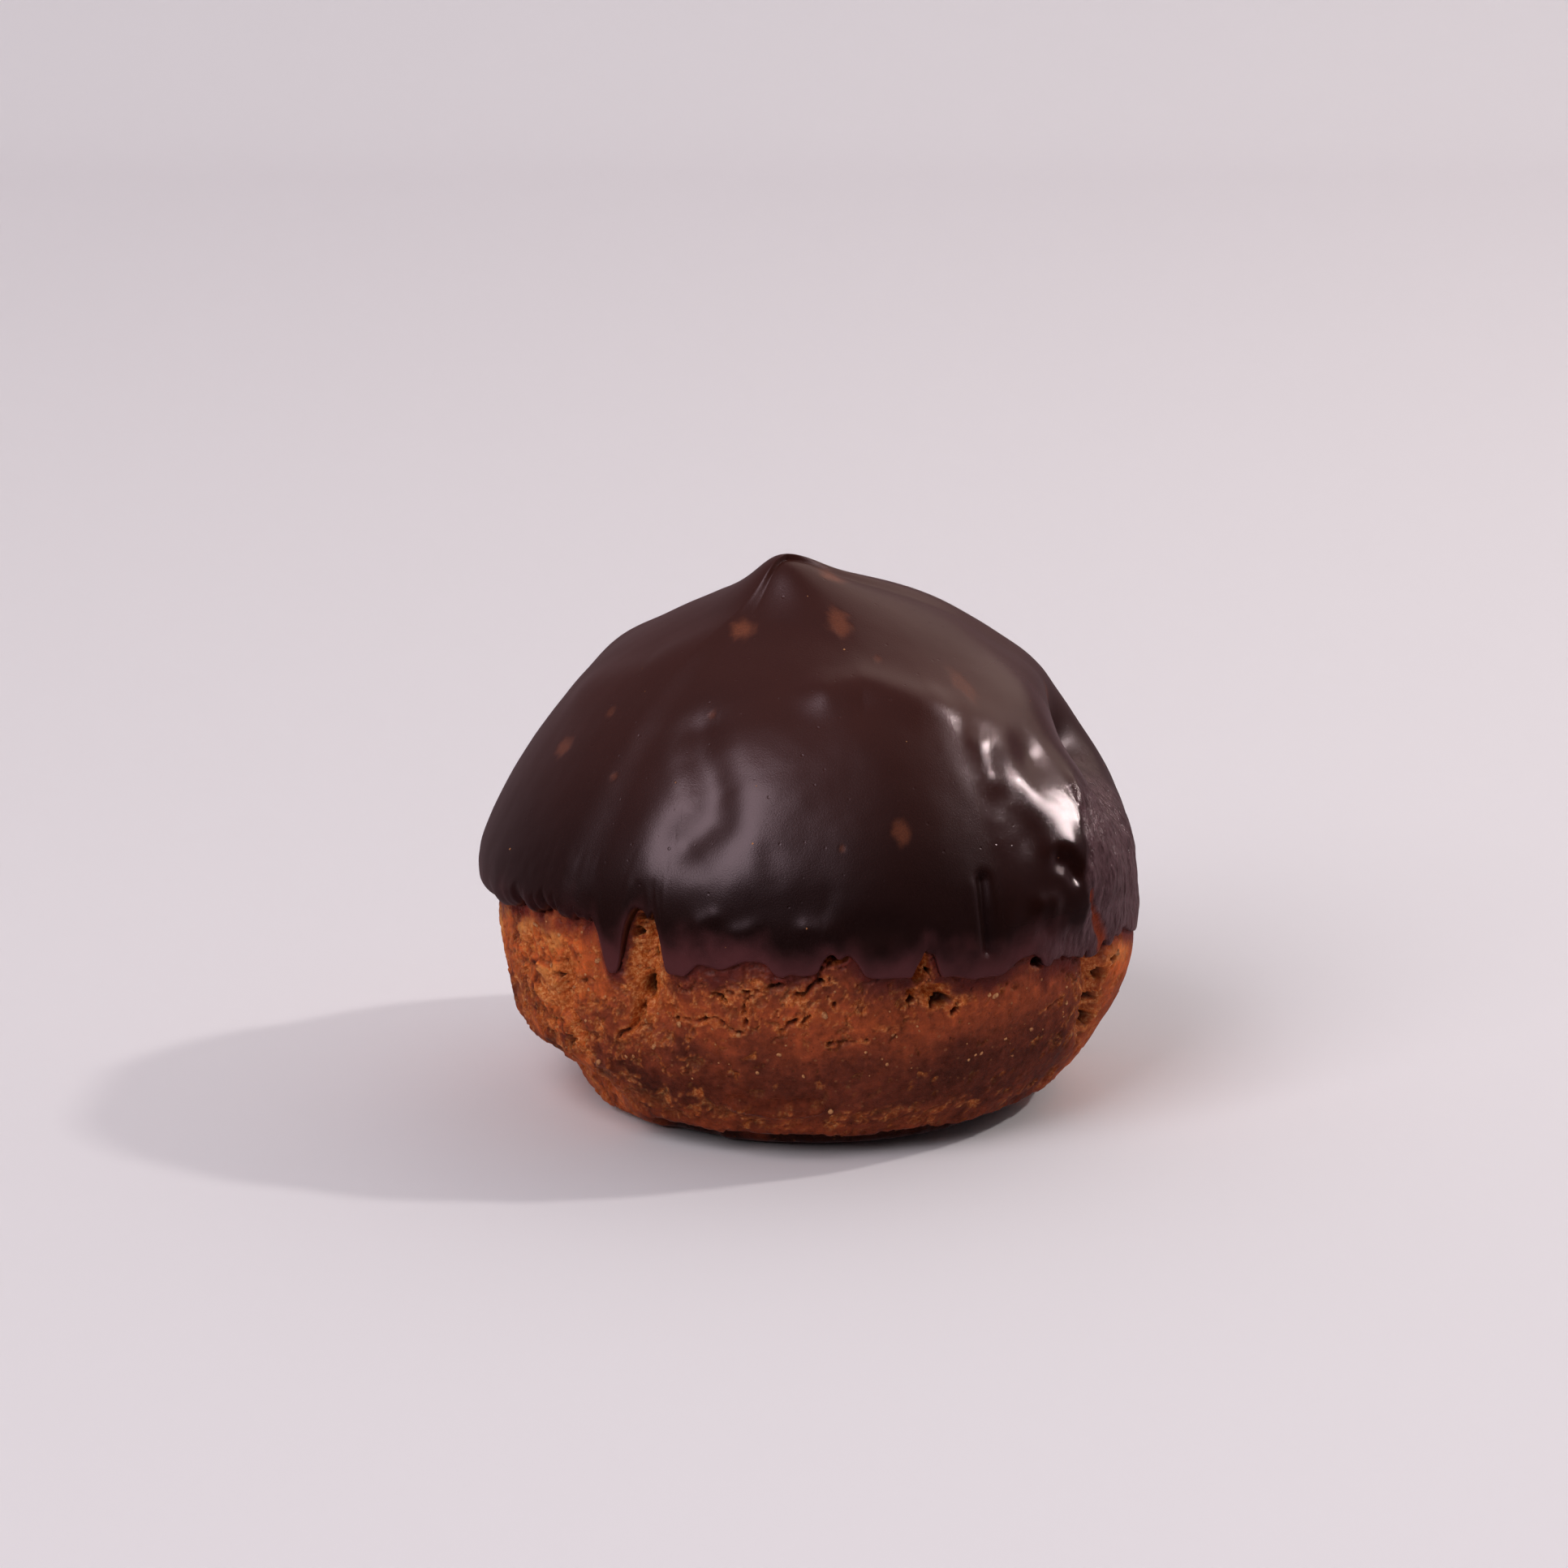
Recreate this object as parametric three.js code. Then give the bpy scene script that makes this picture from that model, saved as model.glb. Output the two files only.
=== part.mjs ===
// A profiterole: a baked choux bun that was dipped upside down in chocolate,
// which set as a cap with a thick rolled lip, drips, and a small peak where it was let go.
import * as THREE from "three";
import { ParametricGeometry } from "three/addons/geometries/ParametricGeometry.js";

// Millimetres, +Z up, the bun standing on the flat of its base. East is +X and north +Y.
// A bearing is in degrees round the upright axis: 0 faces south and 90 east.

// Radius and height of the baked skin, from the edge of the flat base to the crown.
const SECTION = [
  [15.5, 0], [19.6, 0.5], [22.2, 2.2], [24.4, 4.6], [26.4, 8.2], [27.7, 12.6], [28.3, 17.2], [28.3, 21.2],
  [27.4, 25.2], [25.4, 29.4], [22.6, 33.8], [18.9, 38.2], [13.5, 42.0], [7.2, 44.8], [2.6, 45.8], [0, 46],
];
const FOOT = [-0.35, -0.3]; // centre of the round of the base, east and north
const LEAN = 0.9; // how far the crown leans east of there
const LEAN_HEIGHTS = [26, 46]; // where the lean starts and where it is whole

// Waves round the plan: how many, share of the radius, bearing of a crest.
const LOBES = [
  [2, 0.008, 90],
  [3, 0.006, 80],
  [5, 0.006, 20],
];
const LOBES_AT_BASE = 0.3; // share of the waves at the base, which is rounder than the side
const LOBE_HEIGHTS = [0, 8]; // from the base up to where they are whole

// Swells and hollows that the bun rose with: places along each by bearing and height, reach, rise.
const SWELLS = [
  [[[80, 13]], 7.0, 1.0],
  [[[78, 3.5], [70, 3.5]], 3.5, 0.2],
  [[[76, 29]], 5.0, -0.5],
  [[[86, 32.5]], 5.5, -2.6],
  [[[97, 32.5]], 4.2, -3.2],
  [[[95, 41]], 6.0, -0.5],
  [[[60, 45], [110, 45]], 6.0, 0.4],
  [[[-80, 7.5]], 4.0, 0.7],
  [[[-80, 3.4], [-55, 3]], 4.0, -2.2],
  [[[150, 27], [165, 24]], 7.0, 0.7],
  [[[-150, 33], [-140, 26]], 6.0, -0.8],
  [[[-112, 12], [-100, 16]], 6.0, 0.6],
];

// Places where the crust tore open while it baked.
const TEARS = [
  [[[-31, 22.5], [-29, 14]], 3.0, -2.0],
  [[[-50, 16], [-52, 9]], 2.2, -0.8],
  [[[20, 16.2], [24, 16]], 2.6, -1.4],
  [[[63, 16.5], [66.5, 9.5]], 2.4, -1.9],
  [[[128, 19], [133, 11]], 2.6, -1.6],
  [[[-166, 18], [-160, 12]], 2.4, -1.5],
];

// Folds of the chocolate where it slid and set.
const FOLDS = [
  [[[-31.5, 34.5], [-33.5, 28]], 4.5, 0.35],
  [[[-12, 33], [-14, 28]], 6.0, 0.45],
  [[[-30, 37.4], [-27, 35.6], [-21.5, 33], [-20.5, 31], [-24.5, 29.2]], 2.4, -0.5],
  [[[18, 30], [24, 34]], 8.0, 0.4],
  [[[2.3, 40.4], [13, 40.8], [29, 39.3], [41, 38.3], [47.5, 37], [48.5, 33.8], [49.5, 30.3], [51, 28]], 2.5, 0.7],
  [[[44, 33], [45.5, 28.5]], 2.8, -0.5],
  [[[66, 29], [64, 23.5]], 5.0, 1.1],
  [[[44.5, 22.8], [47, 22.8]], 1.1, 0.35],
  [[[50, 26.6], [53.5, 26.4]], 1.4, 0.35],
  [[[-44.6, 43.5], [-60, 40], [-79, 37.3]], 3.0, 0.35],
  [[[-120, 38], [-135, 30]], 4.0, 0.6],
  [[[175, 40], [160, 33]], 4.0, -0.5],
  [[[118, 35], [112, 27]], 4.0, 0.6],
];

const GAP = 0.3; // between the crust and the chocolate's lining
const CHOCOLATE = 1.1; // thickness over the dome
const LIP = 1.6; // thickness just above the edge
const LIP_REACH = 3.2; // how far up the lip fades
const LIP_ROUND = 1.8; // height of the rolled edge

// The small peak of chocolate: its place on the crown, the radius inside which the crown
// draws towards it, and its own reach and rise.
const PEAK = { east: -3.1, north: -2.8, drawn: 12, reach: 4.2, rise: 2.9 };

// The edge of the chocolate: a tilted level line, then each drip or bare arch by bearing, half width, drop.
const EDGE = { level: 19.6, tilt: 1.8, high: -55 };
const DRIPS = [
  [-90, 18, 2.4], [-68, 4, 1.0], [-48, 5.5, -1.5], [-38.4, 3.4, 2.4], [-32.0, 3.4, -2.0],
  [-25.5, 3.8, 2.4], [30, 55, 2.0], [-18, 4.0, 0.8], [-4, 3.5, 0.3], [5, 3.4, -1.5], [21.3, 1.6, -2.2],
  [42, 4, -1.0], [63, 8, 1.0], [84, 8, 1.6], [118, 6, -1.5], [140, 5, 2.8], [165, 7, 1.0], [-170, 5, -2.0],
  [-150, 6, 2.4], [-128, 5, -1.2], [-110, 5, 1.4],
];

// Columns round the bun, and rows of faces up each surface.
const COLUMNS = 128;
const CRUST_ROWS = 10;
const COVERED_ROWS = 8; // from the chocolate's edge to the crown, on the bun and on the lining that it fits
const GLAZE_ROWS = 13;

const BASE_HEIGHTS = [0, 4]; // forms fade out towards the flat base
const FALL = 1.4; // how fast a form falls away within its reach
const DRIP_FALL = 3; // a drip is round at its tip and steep at its sides
const HALVINGS = 40; // enough to find a height to the last digit
const UPRIGHT_BELOW = 6; // inside this radius the skin's outward direction turns to straight up

const section = new THREE.SplineCurve(SECTION.map(([radius, height]) => new THREE.Vector2(radius, height)));

function smooth(low, high, x) {
  return THREE.MathUtils.smoothstep(x, low, high);
}

// How far along the section, from 0 to 1, the skin reaches a height.
function shareAt(height) {
  let low = 0;
  let high = 1;
  for (let step = 0; step < HALVINGS; step++) {
    const middle = (low + high) / 2;
    if (section.getPoint(middle).y < height) low = middle;
    else high = middle;
  }
  return (low + high) / 2;
}

// A point of the plain bun, lobed and leaning, and the direction out of its skin.
function plainSkin(bearing, share) {
  const angle = THREE.MathUtils.degToRad(bearing);
  const { x: radius, y: height } = section.getPoint(share);
  const slope = section.getTangent(share);
  let lobes = 0;
  for (const [count, part, crest] of LOBES) {
    lobes += part * Math.cos(count * (angle - THREE.MathUtils.degToRad(crest)));
  }
  const spread = LOBES_AT_BASE + (1 - LOBES_AT_BASE) * smooth(...LOBE_HEIGHTS, height);
  const reach = radius * (1 + lobes * spread);
  const lean = LEAN * smooth(...LEAN_HEIGHTS, height);
  const drawn = 1 - smooth(0, PEAK.drawn, radius);
  const east = FOOT[0] + lean + PEAK.east * drawn;
  const north = FOOT[1] + PEAK.north * drawn;
  const out = slope.y * smooth(0, UPRIGHT_BELOW, radius);
  return {
    point: new THREE.Vector3(east + reach * Math.sin(angle), north - reach * Math.cos(angle), height),
    outward: new THREE.Vector3(out * Math.sin(angle), -out * Math.cos(angle), -slope.x),
  };
}

// Each form is a soft ridge or hollow along a bent line through places on the plain skin.
function placed(forms) {
  return forms.map(([places, reach, rise]) => {
    const spots = places.map(([bearing, height]) => plainSkin(bearing, shareAt(height)).point);
    const ends = spots.length > 1 ? spots.slice(1) : spots;
    return { lines: ends.map((end, index) => new THREE.Line3(spots[index], end)), reach, rise };
  });
}

const swells = placed(SWELLS);
const tears = placed(TEARS);
const folds = placed(FOLDS);

const nearest = new THREE.Vector3();

function riseOf(forms, point) {
  let rise = 0;
  for (const form of forms) {
    let away = Infinity;
    for (const line of form.lines) {
      line.closestPointToPoint(point, true, nearest);
      away = Math.min(away, nearest.distanceTo(point) / form.reach);
    }
    rise += form.rise * Math.exp(-FALL * away * away);
  }
  return rise;
}

// The skin of the bun with its swells and the given forms, moved out by a thickness.
function skin(bearing, share, out, forms, target) {
  const { point, outward } = plainSkin(bearing, share);
  const proud = riseOf(swells, point) + riseOf(forms, point);
  return target.copy(point).addScaledVector(outward, out + proud * smooth(...BASE_HEIGHTS, point.z));
}

// Where the chocolate ends.
function edgeHeight(bearing) {
  const turn = (from) => THREE.MathUtils.euclideanModulo(bearing - from + 180, 360) - 180;
  let height = EDGE.level + EDGE.tilt * Math.cos(THREE.MathUtils.degToRad(bearing - EDGE.high));
  for (const [at, halfWidth, drop] of DRIPS) {
    height -= drop * Math.exp(-(Math.abs(turn(at) / halfWidth) ** DRIP_FALL));
  }
  return height;
}

// How thick the chocolate is at a height above its own edge.
function thickness(above) {
  const lip = CHOCOLATE + (LIP - CHOCOLATE) * Math.exp(-((above / LIP_REACH) ** 2));
  const inside = 1 - Math.min(above / LIP_ROUND, 1);
  return lip * Math.sqrt(1 - inside * inside);
}

// A closed surface of rows of points round the axis; the last column falls on the first.
function wrapped(rowPoint, rows) {
  return new ParametricGeometry(
    (u, v, target) => rowPoint((u % 1) * 360 - 180, Math.round(v * rows), target),
    COLUMNS,
    rows,
  );
}

// The bun's rows follow the edge of the chocolate, so that above it they match the lining's.
function bunGeometry() {
  return wrapped((bearing, row, target) => {
    if (row === 0) return target.set(...FOOT, 0);
    const up = row - 1;
    const edgeShare = shareAt(edgeHeight(bearing));
    const share =
      up <= CRUST_ROWS
        ? (edgeShare * up) / CRUST_ROWS
        : edgeShare + ((1 - edgeShare) * (up - CRUST_ROWS)) / COVERED_ROWS;
    return skin(bearing, share, 0, tears, target);
  }, 1 + CRUST_ROWS + COVERED_ROWS);
}

// Down the lining from the crown to the edge, round the lip and back up the outside to the peak.
function glazeGeometry() {
  return wrapped((bearing, row, target) => {
    const edge = edgeHeight(bearing);
    const edgeShare = shareAt(edge);
    if (row <= COVERED_ROWS) {
      const up = 1 - row / COVERED_ROWS;
      return skin(bearing, edgeShare + (1 - edgeShare) * up, GAP, [], target);
    }
    const up = (1 - Math.cos((Math.PI * (row - COVERED_ROWS)) / GLAZE_ROWS)) / 2; // closer at lip and peak
    const share = edgeShare + (1 - edgeShare) * up;
    const { x: radius, y: height } = section.getPoint(share);
    skin(bearing, share, GAP + thickness(height - edge), folds, target);
    target.z += PEAK.rise * Math.exp(-((radius / PEAK.reach) ** 2));
    return target;
  }, COVERED_ROWS + GLAZE_ROWS);
}

function piece(name, geometry, look) {
  const mesh = new THREE.Mesh(geometry, new THREE.MeshStandardMaterial(look));
  mesh.name = name;
  return mesh;
}

const profiterole = new THREE.Group();
profiterole.add(
  piece("choux_bun", bunGeometry(), { color: "#8c4722", roughness: 0.6, metalness: 0 }),
  piece("chocolate_glaze", glazeGeometry(), { color: "#3a211d", roughness: 0.3, metalness: 0 }),
);

export default profiterole;
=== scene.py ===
# A profiterole on a pale sweep of paper: a choux bun, browned and torn at the side,
# its dome dipped in dark chocolate that set with a rolled lip, drips and a small peak.
import math
import random

import bmesh
import bpy
import numpy as np
from mathutils import Matrix, Vector, noise


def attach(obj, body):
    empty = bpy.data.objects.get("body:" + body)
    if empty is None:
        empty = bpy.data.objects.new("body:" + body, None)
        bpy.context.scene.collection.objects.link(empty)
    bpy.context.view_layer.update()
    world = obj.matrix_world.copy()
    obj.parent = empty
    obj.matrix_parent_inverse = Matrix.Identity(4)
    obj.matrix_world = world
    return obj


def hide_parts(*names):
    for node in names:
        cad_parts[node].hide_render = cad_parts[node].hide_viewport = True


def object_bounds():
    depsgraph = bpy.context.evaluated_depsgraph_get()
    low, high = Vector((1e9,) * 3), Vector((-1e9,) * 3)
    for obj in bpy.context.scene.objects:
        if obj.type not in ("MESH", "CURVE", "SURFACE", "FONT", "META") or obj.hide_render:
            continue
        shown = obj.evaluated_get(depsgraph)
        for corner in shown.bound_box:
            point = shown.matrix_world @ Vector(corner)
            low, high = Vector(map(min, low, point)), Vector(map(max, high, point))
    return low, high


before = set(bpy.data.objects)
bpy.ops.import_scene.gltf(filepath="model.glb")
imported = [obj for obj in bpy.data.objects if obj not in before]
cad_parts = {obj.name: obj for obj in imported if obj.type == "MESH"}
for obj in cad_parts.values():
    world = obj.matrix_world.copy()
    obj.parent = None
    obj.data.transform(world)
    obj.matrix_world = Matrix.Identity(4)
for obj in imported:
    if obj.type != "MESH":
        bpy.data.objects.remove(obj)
cad_low, cad_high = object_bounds()
MM = 0.001
noise.seed_set(1)  # else the directions of noise_vector follow the clock

# ---------------------------------------------------------------------------
# The form, in millimetres, as the solids have it. East is +X and north +Y.
# A bearing is in degrees round the upright axis: 0 faces south and 90 east.

# Radius and height of the baked skin, from the edge of the flat base to the crown.
SECTION = [
    (15.5, 0), (19.6, 0.5), (22.2, 2.2), (24.4, 4.6), (26.4, 8.2), (27.7, 12.6), (28.3, 17.2),
    (28.3, 21.2), (27.4, 25.2), (25.4, 29.4), (22.6, 33.8), (18.9, 38.2), (13.5, 42.0), (7.2, 44.8),
    (2.6, 45.8), (0, 46),
]
FOOT = (-0.35, -0.3)  # the middle of the base, east and north
LEAN = 0.9  # how far east the crown leans, between these heights
LEAN_HEIGHTS = (26, 46)

# Waves round the plan: how many, share of the radius, bearing of a crest.
LOBES = [(2, 0.008, 90), (3, 0.006, 80), (5, 0.006, 20)]
LOBES_AT_BASE = 0.3  # the share of them left at the base, whole again between these heights
LOBE_HEIGHTS = (0, 8)

# Swells and hollows of the bun, its tears, and the folds of the chocolate: places along each by bearing
# and height, reach, rise.
SWELLS = [
    ([(80, 13)], 7.0, 1.0),
    ([(78, 3.5), (70, 3.5)], 3.5, 0.2),
    ([(76, 29)], 5.0, -0.5),
    ([(86, 32.5)], 5.5, -2.6),
    ([(97, 32.5)], 4.2, -3.2),
    ([(95, 41)], 6.0, -0.5),
    ([(60, 45), (110, 45)], 6.0, 0.4),
    ([(-80, 7.5)], 4.0, 0.7),
    ([(-80, 3.4), (-55, 3)], 4.0, -2.2),
    ([(150, 27), (165, 24)], 7.0, 0.7),
    ([(-150, 33), (-140, 26)], 6.0, -0.8),
    ([(-112, 12), (-100, 16)], 6.0, 0.6),
]
TEARS = [
    ([(-31, 22.5), (-29, 14)], 3.0, -2.0),
    ([(-50, 16), (-52, 9)], 2.2, -0.8),
    ([(20, 16.2), (24, 16)], 2.6, -1.4),
    ([(63, 16.5), (66.5, 9.5)], 2.4, -1.9),
    ([(128, 19), (133, 11)], 2.6, -1.6),
    ([(-166, 18), (-160, 12)], 2.4, -1.5),
]
# The long ridge from the middle of the dome down its right shoulder.
RIDGE = [(2.3, 40.4), (13, 40.8), (29, 39.3), (41, 38.3), (47.5, 37), (48.5, 33.8), (49.5, 30.3), (51, 28)]
FOLDS = [
    ([(-31.5, 34.5), (-33.5, 28)], 4.5, 0.35),
    ([(-12, 33), (-14, 28)], 6.0, 0.45),
    ([(-30, 37.4), (-27, 35.6), (-21.5, 33), (-20.5, 31), (-24.5, 29.2)], 2.4, -0.5),
    ([(18, 30), (24, 34)], 8.0, 0.4),
    (RIDGE, 2.5, 0.7),
    ([(44, 33), (45.5, 28.5)], 2.8, -0.5),
    ([(66, 29), (64, 23.5)], 5.0, 1.1),
    ([(44.5, 22.8), (47, 22.8)], 1.1, 0.35),
    ([(50, 26.6), (53.5, 26.4)], 1.4, 0.35),
    ([(-44.6, 43.5), (-60, 40), (-79, 37.3)], 3.0, 0.35),
    ([(-120, 38), (-135, 30)], 4.0, 0.6),
    ([(175, 40), (160, 33)], 4.0, -0.5),
    ([(118, 35), (112, 27)], 4.0, 0.6),
]

# The peak: its place, the radius inside which the crown draws towards it, its reach and rise.
PEAK_EAST, PEAK_NORTH, PEAK_DRAWN, PEAK_REACH, PEAK_RISE = -3.1, -2.8, 12, 4.2, 2.9

# The edge of the chocolate: a tilted level line, then each drip by bearing, half width, drop.
EDGE_LEVEL, EDGE_TILT, EDGE_HIGH = 19.6, 1.8, -55
DRIPS = [
    (-90, 18, 2.4), (-68, 4, 1.0), (-48, 5.5, -1.5), (-38.4, 3.4, 2.4), (-32.0, 3.4, -2.0),
    (-25.5, 3.8, 2.4), (30, 55, 2.0), (-18, 4.0, 0.8), (-4, 3.5, 0.3), (5, 3.4, -1.5), (21.3, 1.6, -2.2),
    (42, 4, -1.0), (63, 8, 1.0), (84, 8, 1.6), (118, 6, -1.5), (140, 5, 2.8), (165, 7, 1.0),
    (-170, 5, -2.0), (-150, 6, 2.4), (-128, 5, -1.2), (-110, 5, 1.4),
]
BASE_HEIGHTS = (0, 4)  # forms fade out towards the flat base between these heights
UPRIGHT_BELOW = 6  # within this radius the skin's outward direction turns straight up
FALL = 1.4  # how soon a form dies away beyond its reach
DRIP_FALL = 3  # how squarely a drip ends at its half width
TONGUE_FALL = 4  # and a small tongue at its own


def smooth(low, high, x):
    """0 below low, 1 above high, and an S between them."""
    u = np.clip((x - low) / (high - low), 0, 1)
    return u * u * (3 - 2 * u)


def band(x, middle, half_width):
    """1 where x is at the middle, dying away over the half width to each side."""
    return np.exp(-(((x - middle) / half_width) ** 2))


def curve(points, samples=3000):
    """A smooth curve through the points, as one even table of places along it."""
    points = np.array(points, float)
    last = len(points) - 1
    along = np.linspace(0, last, samples)
    at = np.minimum(along.astype(int), last - 1)
    w = (along - at)[:, None]
    before, start, end, after = (points[np.clip(at + step, 0, last)] for step in (-1, 0, 1, 2))
    leave, arrive = (end - before) / 2, (after - start) / 2
    return (
        (2 * start - 2 * end + leave + arrive) * w**3
        + (3 * end - 3 * start - 2 * leave - arrive) * w**2
        + leave * w
        + start
    )


SHARES = np.linspace(0, 1, 3000)
RADII, HEIGHTS = curve(SECTION).T
RADIUS_SLOPE, HEIGHT_SLOPE = np.gradient(RADII), np.gradient(HEIGHTS)
SLOPE_LENGTH = np.hypot(RADIUS_SLOPE, HEIGHT_SLOPE)


def share_at(height):
    """How far along the section the skin reaches a height."""
    return np.interp(height, HEIGHTS, SHARES)


def plain_skin(bearing, share):
    """Points of the plain bun, lobed and leaning, and the directions out of its skin."""
    angle = np.radians(bearing)
    radius, height = np.interp(share, SHARES, RADII), np.interp(share, SHARES, HEIGHTS)
    lobes = sum(part * np.cos(count * (angle - math.radians(crest))) for count, part, crest in LOBES)
    spread = LOBES_AT_BASE + (1 - LOBES_AT_BASE) * smooth(*LOBE_HEIGHTS, height)
    reach = radius * (1 + lobes * spread)
    drawn = 1 - smooth(0, PEAK_DRAWN, radius)
    east = FOOT[0] + LEAN * smooth(*LEAN_HEIGHTS, height) + PEAK_EAST * drawn
    north = FOOT[1] + PEAK_NORTH * drawn
    out = np.interp(share, SHARES, HEIGHT_SLOPE / SLOPE_LENGTH) * smooth(0, UPRIGHT_BELOW, radius)
    up = np.interp(share, SHARES, -RADIUS_SLOPE / SLOPE_LENGTH)
    point = np.stack([east + reach * np.sin(angle), north - reach * np.cos(angle), height + 0 * angle], -1)
    return point, np.stack([out * np.sin(angle), -out * np.cos(angle), up + 0 * angle], -1)


def place(bearing, height):
    """The point of the plain skin at one bearing and height."""
    return plain_skin(np.float64(bearing), share_at(height))[0]


def away_from_line(points, start, end):
    """Distance of each point from a straight line between two places, in millimetres."""
    run = end - start
    along = np.clip((points - start) @ run / max(run @ run, 1e-9), 0, 1)
    return np.linalg.norm(points - start - along[:, None] * run, axis=1)


def away_from_route(points, places):
    """Distance of each point from a bent line through places, or from a single place, in millimetres."""
    spots = [place(*spot) for spot in places]
    return np.min([away_from_line(points, *ends) for ends in zip(spots, spots[1:] or spots)], axis=0)


def rise_of(forms, points):
    """How far the forms lift or sink each point."""
    return sum(
        rise * np.exp(-FALL * (away_from_route(points, places) / reach) ** 2) for places, reach, rise in forms
    )


def turn(bearing, towards):
    """Degrees from one bearing to another, from -180 to 180."""
    return (bearing - towards + 180) % 360 - 180


def edge_level(bearing):
    """The tilted level line that the chocolate's edge wanders about."""
    return EDGE_LEVEL + EDGE_TILT * np.cos(np.radians(bearing - EDGE_HIGH))


def edge_height(bearing):
    """Where the chocolate ends."""
    height = edge_level(bearing)
    for at, half_width, drop in DRIPS:
        height = height - drop * np.exp(-(np.abs(turn(bearing, at) / half_width) ** DRIP_FALL))
    return height


# ---------------------------------------------------------------------------
# Making and dressing meshes


def waves(points, size, octaves=3, seed=0, stretch=(1, 1, 1)):
    """Soft noise of about -1 to 1 whose widest waves are `size` millimetres long."""
    spots = points / (np.array(stretch) * size) + 31.7 * seed
    return np.array([noise.fractal(spot, 1.0, 2.0, octaves) for spot in spots.tolist()])


def stirred(points, size, amount, seed=0):
    """The points, each pushed up to `amount` millimetres aside by noise of one size."""
    spots = points / size + 23.9 * seed
    return points + amount * np.array([noise.noise_vector(spot)[:] for spot in spots.tolist()])


def bubbles(points, size, seed=0):
    """Distance from the middle of the nearest of many packed bubbles, and from the wall to the next one."""
    spots = points / size + 17.3 * seed
    near = np.array([noise.voronoi(spot)[0][:2] for spot in spots.tolist()])
    return near[:, 0], near[:, 1] - near[:, 0]


def wrap(columns, rows, finer=None):
    """A grid whose width will go once round the bun and whose height follows `rows` from low to high.

    `finer` says which faces are cut in four, from the bearing and row value of their middle.
    Returns the net with the bearing and row value of every point."""
    net = bmesh.new()
    bmesh.ops.create_grid(net, x_segments=columns, y_segments=len(rows) - 1, size=1)
    steps = np.linspace(-1, 1, len(rows))
    if finer:
        middles = np.array([face.calc_center_median()[:] for face in net.faces])
        close = finer(middles[:, 0] * 180, np.interp(middles[:, 1], steps, rows))
        # each edge once and in the order of the faces, so that every run cuts them alike
        edges = dict.fromkeys(edge for face, near in zip(net.faces, close) if near for edge in face.edges)
        bmesh.ops.subdivide_edges(net, edges=list(edges), cuts=1, use_grid_fill=True)
    spots = np.array([vert.co[:] for vert in net.verts])
    return net, spots[:, 0] * 180, np.interp(spots[:, 1], steps, rows)


def finish_piece(net, name, points, layers, node, material):
    """Moves a net's points to their places, closes its seam and poles, and makes it a piece of the object."""
    values = {key: net.verts.layers.float.new(key) for key in layers}
    for index, vert in enumerate(net.verts):
        vert.co = points[index] * MM
        for key, layer in values.items():
            vert[layer] = layers[key][index]
    bmesh.ops.remove_doubles(net, verts=net.verts, dist=1e-7)
    bmesh.ops.dissolve_degenerate(net, edges=net.edges, dist=1e-8)
    bmesh.ops.recalc_face_normals(net, faces=net.faces)
    for face in net.faces:
        face.smooth = True
    mesh = bpy.data.meshes.new(name)
    net.to_mesh(mesh)
    net.free()
    piece = bpy.data.objects.new(name, mesh)
    bpy.context.scene.collection.objects.link(piece)
    mesh.materials.append(material)
    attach(piece, "root")
    if node:
        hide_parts(node)
    return piece


def colour(code):
    """A linear colour from an sRGB hex code."""
    parts = [int(code[at : at + 2], 16) / 255 for at in (1, 3, 5)]
    return tuple(p / 12.92 if p <= 0.04045 else ((p + 0.055) / 1.055) ** 2.4 for p in parts) + (1.0,)


def add(tree, kind, inputs=None, stops=None, **settings):
    """Adds a shader node with its settings, and sets or links its inputs."""
    made = tree.nodes.new("ShaderNode" + kind)
    for name, value in settings.items():
        setattr(made, name, value)
    for name, value in (inputs or {}).items():
        if isinstance(value, bpy.types.NodeSocket):
            tree.links.new(value, made.inputs[name])
        else:
            made.inputs[name].default_value = value
    if stops:
        ramp = made.color_ramp.elements
        while len(ramp) < len(stops):
            ramp.new(0.5)
        for element, (position, shade) in zip(ramp, stops):
            element.position = position
            element.color = shade
    return made


def mixed(tree, factor, one, other, blend="MIX"):
    """One colour mixed into another by a factor."""
    return add(tree, "Mix", {0: factor, 6: one, 7: other}, data_type="RGBA", blend_type=blend).outputs[2]


def attribute(tree, name):
    """The socket of one of the piece's own float attributes."""
    return add(tree, "Attribute", attribute_name=name).outputs["Fac"]


def grey(value):
    """A linear grey."""
    return (value, value, value, 1)


def new_material(name):
    """A material with a lone principled shader, and its tree and shader."""
    material = bpy.data.materials.new(name)
    material.use_nodes = True
    tree = material.node_tree
    tree.nodes.clear()
    shader = add(tree, "BsdfPrincipled")
    add(tree, "OutputMaterial", {"Surface": shader.outputs[0]})
    return material, tree, shader


# Small tongues and notches along the edge: bearing, half width in degrees, drop.
TONGUES = [
    (-63, 2.0, 0.4), (-60.5, 1.2, -0.3), (-56.2, 1.3, 0.5), (-53.6, 0.8, 0.4), (-51.2, 0.9, 0.5),
    (-49.3, 0.6, -0.5), (-47.3, 3.4, 1.4), (-45.4, 0.7, -0.5), (-40.8, 1.5, -1.6), (-37.5, 2.3, 1.4),
    (-31.5, 3.0, -0.8), (-28.3, 1.3, -2.4), (-22.5, 1.5, 0.3), (-10, 3.0, -0.3), (-6, 1.6, 0.4),
    (2.8, 1.4, -0.6), (7.2, 1.6, -0.5), (19.4, 1.1, -1.2), (33, 5.0, 0.4), (47.5, 1.2, 0.7),
    (52, 1.2, -0.3), (59.5, 0.9, -0.7), (65, 1.6, -1.0), (69, 1.0, -0.5), (73, 1.2, -0.3),
]
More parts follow.
